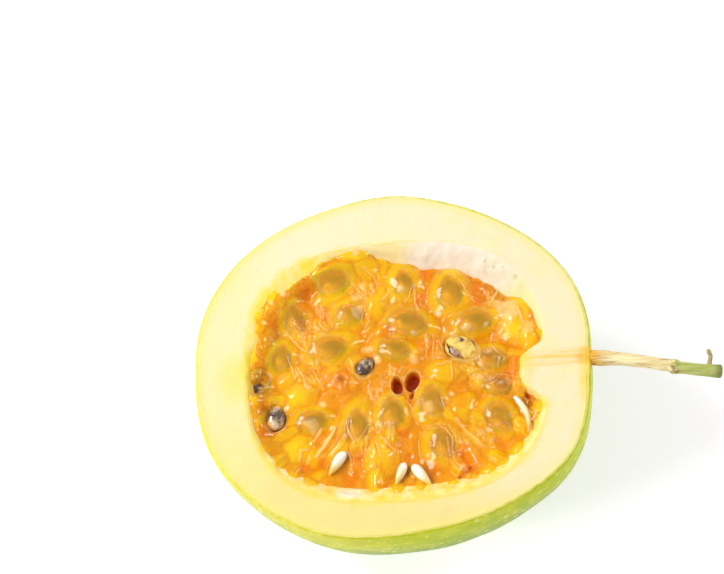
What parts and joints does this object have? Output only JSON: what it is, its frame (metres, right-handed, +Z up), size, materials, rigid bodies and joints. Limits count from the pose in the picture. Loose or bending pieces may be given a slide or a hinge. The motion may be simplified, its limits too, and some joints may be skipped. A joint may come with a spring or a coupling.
{
  "type": "passion fruit half",
  "caption": "Green passion fruit cut lengthwise, lying on its dome: pale pith, orange pulp with juice sacs and dark seeds, and its stem.",
  "frame": {"origin": "middle of the small flat spot on the dome that the half rests on", "axes": "+X along the fruit towards the stem end, +Z up along the normal of the cut face, +Y across the cut face"},
  "size_m": [0.1011, 0.0703, 0.0382],
  "materials": {
    "rind": "waxy green skin outside, matte cream pith on the cut face",
    "pulp": "wet orange jelly",
    "juice_sac": "wet translucent amber",
    "seed": "dark, finely pitted, wet",
    "ovule": "white, smooth, wet",
    "stem": "dry and fibrous, tan to green"
  },
  "bodies": {
    "root": {"rind": "rind", "pulp": "pulp", "stem": "stem", "juice_sac_01": "juice_sac", "juice_sac_02": "juice_sac", "juice_sac_03": "juice_sac", "juice_sac_04": "juice_sac", "juice_sac_05": "juice_sac", "juice_sac_06": "juice_sac", "juice_sac_07": "juice_sac", "juice_sac_08": "juice_sac", "juice_sac_09": "juice_sac", "juice_sac_10": "juice_sac", "juice_sac_11": "juice_sac", "juice_sac_12": "juice_sac", "juice_sac_13": "juice_sac", "juice_sac_14": "juice_sac", "juice_sac_15": "juice_sac", "juice_sac_16": "juice_sac", "juice_sac_17": "juice_sac", "juice_sac_18": "juice_sac", "juice_sac_19": "juice_sac", "juice_sac_20": "juice_sac", "juice_sac_21": "juice_sac", "juice_sac_22": "juice_sac", "juice_sac_23": "juice_sac", "juice_sac_24": "juice_sac", "juice_sac_25": "juice_sac", "juice_sac_26": "juice_sac", "juice_sac_27": "juice_sac", "seed_01": "seed", "seed_02": "seed", "seed_03": "seed", "seed_04": "seed", "seed_05": "seed", "seed_06": "seed", "seed_07": "seed", "seed_08": "seed", "seed_09": "seed", "seed_10": "seed", "seed_11": "seed", "seed_12": "seed", "seed_13": "seed", "seed_14": "seed", "seed_15": "seed", "seed_16": "seed", "seed_17": "seed", "seed_18": "seed", "seed_19": "seed", "seed_20": "seed", "seed_21": "seed", "seed_22": "seed", "ovule_01": "ovule", "ovule_02": "ovule", "ovule_03": "ovule", "ovule_04": "ovule"}
  },
  "joints": []
}
